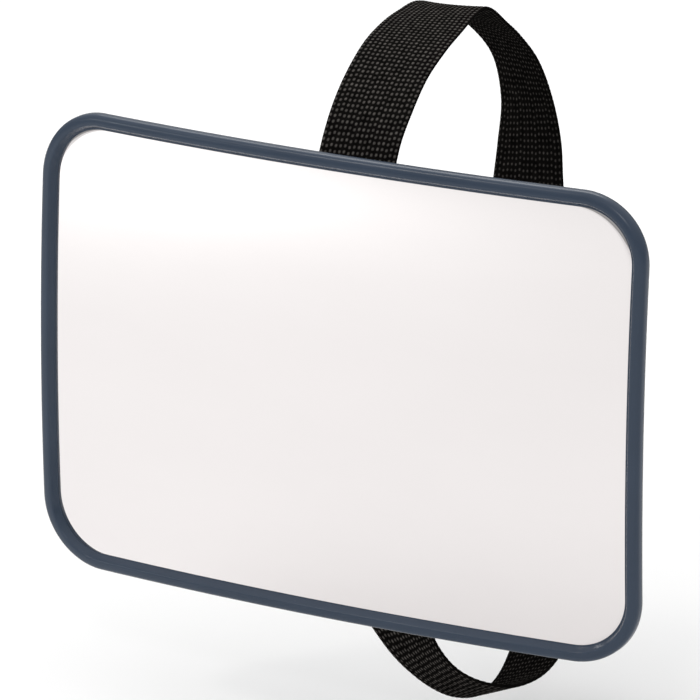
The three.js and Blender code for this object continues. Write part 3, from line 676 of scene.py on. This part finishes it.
def strap_frames(route, spacing):
    """Middles, along, across and outward directions at equal distances along a strap's route."""
    steps = 40
    middles = spline([point for point, _ in route], steps)
    acrosses = spline([across for _, across in route], steps)
    lengths = np.concatenate([[0], np.cumsum(np.linalg.norm(np.diff(middles, axis=0), axis=1))])
    count = int(round(lengths[-1] / spacing))
    at = np.linspace(0, lengths[-1], count + 1)
    middles = np.stack([np.interp(at, lengths, middles[:, k]) for k in range(3)], 1)
    acrosses = np.stack([np.interp(at, lengths, acrosses[:, k]) for k in range(3)], 1)
    middles = smoothed(middles, 0.8 / spacing)
    acrosses = smoothed(acrosses, 3 / spacing)
    along = np.gradient(middles, axis=0)
    along /= np.linalg.norm(along, axis=1)[:, None]
    across = acrosses - np.sum(acrosses * along, axis=1)[:, None] * along
    across /= np.linalg.norm(across, axis=1)[:, None]
    return at, middles, along, across, np.cross(across, along)


def strap_section(samples=4):
    """Points (u, side) round a strap's section, along one face, round the edge and back along the other."""
    reach = STRAP_WIDTH / 2 - 0.45
    count = int(round(2 * reach / (COLUMN_PITCH / samples)))
    line = np.linspace(-reach, reach, count + 1)
    face = [(u, 1.0) for u in line]
    edge = [(reach + 0.3, 0.75), (STRAP_WIDTH / 2, 0.0), (reach + 0.3, -0.75)]
    back = [(-u, -s) for u, s in face]
    return face + edge + back + [(-u, -s) for u, s in edge]


def weave(u, v):
    """Height of the woven surface, 0 in the gaps and 1 on top of a yarn."""
    column = np.floor(u / COLUMN_PITCH + 0.5)
    drift = 0.1 * np.sin(column * 2.4) + 0.05 * np.sin(v / 31 + column)
    ridge = np.abs(np.cos(np.pi * u / COLUMN_PITCH)) ** 0.7
    float_ = np.abs(np.cos(np.pi * (v / ROW_PITCH + drift))) ** 0.7
    return ridge * float_


def make_strap(name, frames, node):
    """Woven webbing: yarns stand out of both faces in rows and columns."""
    at, middles, _, across, out = frames
    section = strap_section()
    u = np.array([spot[0] for spot in section])
    side = np.array([spot[1] for spot in section])
    faces_on = (np.abs(side) == 1.0).astype(float)
    v = at[:, None] + np.where(side > 0, 0, ROW_PITCH / 2)[None, :]
    relief = weave(u[None, :], v) * faces_on[None, :]
    height = side[None, :] * (STRAP_CORE + YARN_RISE * relief)
    # painted shade: the relief that colours the yarn tops is lowered on the inner face
    relief = relief * np.where(side < 0, INNER_FACE_PAINTED_SHADE, 1.0)[None, :]
    level = middles[:, None, :] + across[:, None, :] * u[None, :, None]
    points = level + out[:, None, :] * height[:, :, None]
    count = len(section)
    faces = skin([range(count)] * len(at), False)
    mesh = strap_mesh(name, points, faces, u, at, relief)
    face_out(mesh)
    thing = bpy.data.objects.new(name, mesh)
    bpy.context.collection.objects.link(thing)
    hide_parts(node)
    return thing


def strap_mesh(name, points, faces, u, at, relief, material=None):
    """A strap's mesh with its own coordinates as a UV map, in metres, and its relief as an attribute, which
    the yarn material turns into painted highlights on the yarn tops and painted shade in the gaps.
    """
    mesh = bpy.data.meshes.new(name)
    placed = points.reshape(-1, 3) * MM
    placed[:, 1] -= HEAD_DEPTH * MM
    mesh.from_pydata(placed.tolist(), [], faces)
    mesh.update()
    mesh.shade_smooth()
    mesh.materials.append(material or WEBBING)
    rows, columns = relief.shape
    # this relief drives the painted highlight and painted shade in the yarn material
    attribute = mesh.attributes.new("relief", "FLOAT", "POINT")
    attribute.data.foreach_set("value", relief.ravel().astype(np.float32))
    layer = mesh.uv_layers.new(name="strap")
    corners = np.zeros(len(mesh.loops), np.int32)
    mesh.loops.foreach_get("vertex_index", corners)
    places = np.stack([np.tile(u, rows), np.repeat(at, columns)], 1) * MM
    layer.data.foreach_set("uv", places[corners].ravel().astype(np.float32))
    return mesh


# ---- sewing, keeper and buckle details ----
def capsule(start, end, radius, sides=6):
    """A short round-ended thread between two points, as points and faces."""
    start, end = np.asarray(start, float), np.asarray(end, float)
    axis = (end - start) / np.linalg.norm(end - start)
    other = np.array([0, 0, 1.0]) if abs(axis[2]) < 0.8 else np.array([1.0, 0, 0])
    first = np.cross(axis, other)
    first /= np.linalg.norm(first)
    second = np.cross(axis, first)
    loops = []
    for share, width in ((-0.9, 0.3), (-0.5, 0.85), (0.3, 1), (None, 1), (0.5, 0.85), (0.9, 0.3)):
        if share is None:
            middle = end - axis * radius * 0.3
        elif len(loops) < 3:
            middle = start + axis * radius * share
        else:
            middle = end + axis * radius * share
        angles = [2 * math.pi * i / sides for i in range(sides)]
        loops.append([middle + radius * width * (math.cos(a) * first + math.sin(a) * second) for a in angles])
    return flat_points(loops), skin(loops, False)


def gathered(parts):
    """Joins several lists of points and faces into one."""
    points, faces = [], []
    for some_points, some_faces in parts:
        shift = len(points)
        points += [tuple(point) for point in some_points]
        faces += [tuple(i + shift for i in face) for face in some_faces]
    return points, faces


def nearest(frames, point):
    """Distance along a strap of the place nearest to a point."""
    return frames[0][np.argmin(np.linalg.norm(frames[1] - np.array(point), axis=1))]


def sewn_box(name, frames, middle, side):
    """A box of stitches with a cross in it, on one face of a strap."""
    at, middles, _, across, out = frames
    half_u, half_s = 15.0, 6.0
    corners = [(-half_u, -half_s), (half_u, -half_s), (half_u, half_s), (-half_u, half_s)]
    runs = [(corners[i], corners[(i + 1) % 4]) for i in range(4)]
    runs += [(corners[0], corners[2]), (corners[1], corners[3])]
    pitch, length, radius = 2.5, 1.9, 0.3

    def on_strap(u, s):
        place = middle + s
        spot = [np.interp(place, at, middles[:, k]) for k in range(3)]
        over = np.array([np.interp(place, at, across[:, k]) for k in range(3)])
        away = np.array([np.interp(place, at, out[:, k]) for k in range(3)])
        return np.array(spot) + over * u + away * side * (STRAP_CORE + YARN_RISE)

    parts = []
    for (u0, s0), (u1, s1) in runs:
        reach = math.hypot(u1 - u0, s1 - s0)
        count = max(2, round(reach / pitch))
        for i in range(count):
            first = (i + 0.12) / count
            last = first + length / reach
            ends = [on_strap(u0 + (u1 - u0) * share, s0 + (s1 - s0) * share) for share in (first, last)]
            parts.append(capsule(*ends, radius))
    points, faces = gathered(parts)
    return piece(name, points, faces, "bracket", THREAD)


def rounded_rectangle(width, height, corner, steps=8):
    """Points (x, y) round a rectangle with round corners, in order."""
    points = []
    for k, (side_x, side_y) in enumerate([(1, -1), (1, 1), (-1, 1), (-1, -1)]):
        middle = (side_x * (width / 2 - corner), side_y * (height / 2 - corner))
        for i in range(steps + 1):
            angle = (k - 1) * math.pi / 2 + i / steps * math.pi / 2
            points.append((middle[0] + corner * math.cos(angle), middle[1] + corner * math.sin(angle)))
    return points


def make_keeper():
    """The elastic ring round the lower strap and its loose end, with ribs round it."""
    middle = np.array([31.9, 150.4, -76])
    along = np.array([0.31, -0.52, -0.8])
    along /= np.linalg.norm(along)
    across = np.array([0.935, -0.05, 0.34])
    across -= across.dot(along) * along
    across /= np.linalg.norm(across)
    out = np.cross(across, along)
    half, ribs, steps = 4.5, 6, 48
    places = np.linspace(-half, half, steps + 1)
    rise = np.abs(np.cos(np.pi * ribs * (places + half) / (2 * half))) * 0.35
    rise[0] = rise[-1] = 0
    spots = [(place, 3.7 + up, 0.9 + up) for place, up in zip(places, rise)]
    spots += [(half, 2.05, 0.3), (-half, 2.05, 0.3)]
    loops = []
    for place, thick, corner in spots:
        grown = thick - 2.05
        section = rounded_rectangle(STRAP_WIDTH + 1.7 + 1.3 * grown, 2 * thick + 2.1, corner)
        loops.append([middle + along * place + across * u + out * w for u, w in section])
    count = len(loops[0])
    # painted highlight and shade: the rib rise becomes the relief that the elastic material paints bright on
    # the rib crests and dark between the ribs
    relief = np.concatenate([rise / 0.35, [0, 0]])[:, None] * np.ones((1, count))
    mesh = strap_mesh("keeper_band", np.array(loops), skin(loops), np.arange(count) * 1.0,
                      np.concatenate([places, [half, -half]]), relief, ELASTIC)
    return finished("keeper_band", mesh, "buckle_plug", ELASTIC, ["strap_keeper"])


def buckle_part(name, parts, body):
    """A moulded detail given in the buckle's own space."""
    points, faces = gathered(parts)
    placed = [from_buckle(*point) for point in points]
    return piece(name, placed, faces, body, BUCKLE_PLASTIC)


def make_press_ribs(side, body, name):
    """Grip ribs on the outer face of a press pad."""
    parts = []
    for i in range(4):
        height = 7.4 + 1.5 * i
        reach = side * (BUCKLE_WIDTH / 2 + 0.42)
        parts.append(capsule((reach, -1.9, height), (reach, 1.9, height), 0.45, 10))
    return buckle_part(name, parts, body)


def raised_ring(middle, width, height, corner, face, band=1.3, rise=0.5):
    """A low raised border on a face of the buckle."""
    side = 1 if face > 0 else -1
    loops = []
    outer = [(0, -0.2), (0.25, rise * 0.8), (0.45, rise)]
    inner = [(band - 0.45, rise), (band - 0.25, rise * 0.8), (band, -0.2)]
    for inset, lift in outer + inner:
        section = rounded_rectangle(width - 2 * inset, height - 2 * inset, corner - inset)
        loops.append([(x, face + side * lift, z + middle) for x, z in section])
    return flat_points(loops), skin(loops)


def make_buckle_borders():
    """Raised borders on both faces of the socket, and grip bars near its mouth."""
    parts = []
    for face in (-5.5, 5.5):
        parts.append(raised_ring(21.5, 34, 17, 4, face))
        for height in (4.2, 6.8, 9.4):
            parts.append(capsule((-12, face * 0.985, height), (12, face * 0.985, height), 0.5, 10))
    return buckle_part("socket_borders", parts, "bracket")


# ---- the stage ----
def make_floor():
    mesh = bpy.data.meshes.new("floor")
    low = cad_box[0][2] - FLOOR_DROP
    reach = 9.0
    corners = [(-reach, -reach, low), (reach, -reach, low), (reach, reach, low), (-reach, reach, low)]
    mesh.from_pydata(corners, [], [(0, 1, 2, 3)])
    floor = bpy.data.objects.new("floor", mesh)
    bpy.context.collection.objects.link(floor)
    material, tree, surface = new_material("floor_paint")
    place = object_coordinates(tree)
    tone = ramp(tree, noise(tree, place, 1.5, 2), (0.86, 0.86, 0.86), (0.88, 0.88, 0.88))
    tree.links.new(tone, surface.inputs["Base Color"])
    surface.inputs["Roughness"].default_value = 0.9
    mesh.materials.append(material)


def area_light(name, place, target, size, power, color=(1, 1, 1)):
    light = bpy.data.lights.new(name, "AREA")
    light.shape = "DISK"
    light.size = size
    light.energy = power
    light.color = color
    lamp = bpy.data.objects.new(name, light)
    lamp.location = place
    lamp.rotation_euler = (Vector(target) - Vector(place)).to_track_quat("-Z", "Y").to_euler()
    bpy.context.collection.objects.link(lamp)


def make_sky():
    """Soft light from all round, brighter overhead than at the horizon."""
    world = bpy.data.worlds.new("studio")
    world.use_nodes = True
    tree = world.node_tree
    direction = tree.nodes.new("ShaderNodeTexCoord")
    parts = add(tree, "ShaderNodeSeparateXYZ", [("Vector", direction.outputs["Generated"])])
    background = tree.nodes["Background"]
    background.inputs["Color"].default_value = (1, 1, 1, 1)
    strength = spread(tree, parts.outputs["Z"], HORIZON_LIGHT, OVERHEAD_LIGHT)
    tree.links.new(strength, background.inputs["Strength"])
    bpy.context.scene.world = world
    bpy.context.scene.view_settings.view_transform = "Standard"


def make_lights():
    area_light("front_glow", (-1.25, -1.25, 0.55), (-1.25, -1.25, -0.2), 0.4, 4.2, (0.97, 1, 1))
    area_light("back_glow", (-0.45, 0.75, 1.05), (-0.45, 0.75, -0.2), 1.0, 7)
    area_light("key", (-1.3, -1.9, 2.1), (0, 0, 0), 0.4, 8, (1, 0.96, 0.92))
    area_light("corner_glint", (1.0, -2.35, 1.56), (0, 0, 0), 0.2, 6)


def make_camera():
    a, e = AZIMUTH, ELEVATION
    back = Vector((math.sin(a) * math.cos(e), -math.cos(a) * math.cos(e), math.sin(e)))
    right = Vector((math.cos(a), math.sin(a), 0))
    up = Vector((-math.sin(e) * math.sin(a), math.sin(e) * math.cos(a), math.cos(e)))
    target = Vector((0, -HEAD_DEPTH * MM, 0)) + right * AIM_RIGHT + up * AIM_UP
    data = bpy.data.cameras.new("camera")
    data.sensor_width = SENSOR
    data.lens = SENSOR * DISTANCE / VIEW_WIDTH
    data.clip_end = 50
    camera = bpy.data.objects.new("camera", data)
    camera.location = target + back * DISTANCE
    level = (-back).to_track_quat("-Z", "Y")
    camera.rotation_euler = (level @ Quaternion((0, 0, 1), ROLL)).to_euler()
    bpy.context.collection.objects.link(camera)
    bpy.context.scene.camera = camera


def finish_cad_nodes():
    """Gives each CAD node that stays visible its own material."""
    kept = {"backing_foam": FOAM, "ball_seat": NYLON, "friction_liner": RUBBER}
    for name, material in kept.items():
        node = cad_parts[name]
        node.data.materials.clear()
        node.data.materials.append(material)


make_camera()
make_sky()
make_lights()
make_floor()
make_bezel()
make_pane()
make_rear_cover()
make_housing()
make_collar()
make_stud()
for number in range(1, HOUSING_SCREWS + 1):
    softened(f"housing_screw_{number}", "mirror_head", STEEL, 0.2)
softened("strap_bracket", "bracket", DARK_PLASTIC, 0.5)
softened("stud_washer", "bracket", STEEL, 0.1)
softened("stud_screw", "bracket", STEEL, 0.2)
softened("grip_pad", "bracket", RUBBER, 0.35)
softened("buckle_socket", "bracket", BUCKLE_PLASTIC, 0.5)
softened("buckle_plug", "buckle_plug", BUCKLE_PLASTIC, 0.4)
softened("buckle_arm_left", "arm_left", BUCKLE_PLASTIC, 0.4)
softened("buckle_arm_right", "arm_right", BUCKLE_PLASTIC, 0.4)
make_keeper()
make_press_ribs(-1, "arm_left", "press_ribs_left")
make_press_ribs(1, "arm_right", "press_ribs_right")
make_buckle_borders()
upper_frames = strap_frames(upper_route(), ROW_PITCH / 4)
lower_frames = strap_frames(lower_route(), ROW_PITCH / 4)
upper = make_strap("upper_webbing", upper_frames, "upper_strap")
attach(upper, "bracket")
lower = make_strap("lower_webbing", lower_frames, "lower_strap")
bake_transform(lower)
sewn_box("upper_tail_stitches", upper_frames, 8.0, 1)
sewn_box("socket_end_stitches", upper_frames, nearest(upper_frames, (3, 172.8, 35)), 1)
sewn_box("lower_tail_stitches", lower_frames, nearest(lower_frames, (-3, 41.3, -65)), -1)
finish_cad_nodes()
